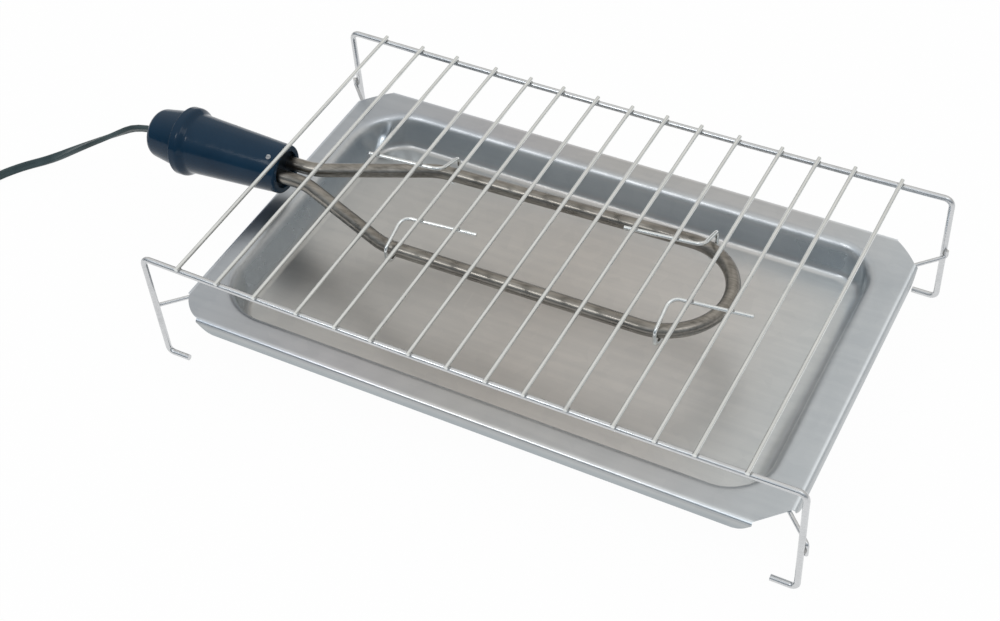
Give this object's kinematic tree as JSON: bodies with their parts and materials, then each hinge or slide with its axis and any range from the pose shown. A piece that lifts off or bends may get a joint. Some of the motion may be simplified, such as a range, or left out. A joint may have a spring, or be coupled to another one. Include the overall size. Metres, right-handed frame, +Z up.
{
  "type": "electric grill",
  "caption": "Open electric grill: a wire cooking rack on legs over a pressed drip tray, with a hairpin heating element held in hooks, a plug-on handle and a mains cord.",
  "frame": {"origin": "on the counter that the feet stand on, under the middle of the grill's box without its cord", "axes": "+X along the rack, from the handle towards the loop of the element; +Y to the rear; +Z up"},
  "size_m": [0.727, 0.2476, 0.0905],
  "materials": {
    "rack_wire": "bright zinc-plated round wire",
    "cross_wire": "bright zinc-plated thin wire",
    "tray_sheet": "pressed galvanised sheet, soft gloss with press marks",
    "element_steel": "heat-browned steel tube",
    "insulation": "packed pale mineral powder",
    "heating_alloy": "plain resistance alloy",
    "ceramic": "unglazed pale ceramic",
    "ferrule_metal": "turned aluminium, blackened",
    "handle_plastic": "glossy moulded dark navy plastic",
    "screw_steel": "zinc-plated steel",
    "terminal_brass": "plain brass and copper",
    "grip_plastic": "black nylon",
    "cord_sheath": "dark grey flexible sheath",
    "tie_plastic": "black nylon tie",
    "plug_plastic": "moulded black plug",
    "plug_pin_metal": "nickel-plated brass"
  },
  "bodies": {
    "rack": {"front_rail": "rack_wire", "rear_rail": "rack_wire", "cross_wire_01": "cross_wire", "cross_wire_02": "cross_wire", "cross_wire_03": "cross_wire", "cross_wire_04": "cross_wire", "cross_wire_05": "cross_wire", "cross_wire_06": "cross_wire", "cross_wire_07": "cross_wire", "cross_wire_08": "cross_wire", "cross_wire_09": "cross_wire", "cross_wire_10": "cross_wire", "cross_wire_11": "cross_wire", "cross_wire_12": "cross_wire", "cross_wire_13": "cross_wire", "cross_wire_14": "cross_wire", "cross_wire_15": "cross_wire", "hook_front_left": "cross_wire", "hook_front_right": "cross_wire", "hook_rear_left": "cross_wire", "hook_rear_right": "cross_wire", "tray_support_left": "rack_wire", "tray_support_right": "rack_wire"},
    "tray": {"drip_tray": "tray_sheet"},
    "element": {"element_sheath": "element_steel", "handle_body": "handle_plastic", "handle_cap": "handle_plastic", "handle_screw": "screw_steel", "element_insulation": "insulation", "heating_wire": "heating_alloy", "terminal_pins": "heating_alloy", "end_seals": "ceramic", "tube_ferrule": "ferrule_metal", "terminal_block": "ceramic", "terminal_screws": "terminal_brass", "inner_leads": "terminal_brass", "cord_grip": "grip_plastic", "cord_grip_screw": "screw_steel", "power_cord": "cord_sheath", "cord_coil": "cord_sheath", "cord_tie": "tie_plastic", "plug_relief": "plug_plastic", "plug_body": "plug_plastic", "plug_pins": "plug_pin_metal"}
  },
  "joints": [
    {"name": "element_pull", "type": "slide", "parent": "rack", "child": "element", "axis": [-0.9997, -0.0244, 0], "range_m": [0, 0.33]},
    {"name": "tray_lift", "type": "slide", "parent": "rack", "child": "tray", "axis": [0, 0, 1], "range_m": [0, 0.008]}
  ]
}
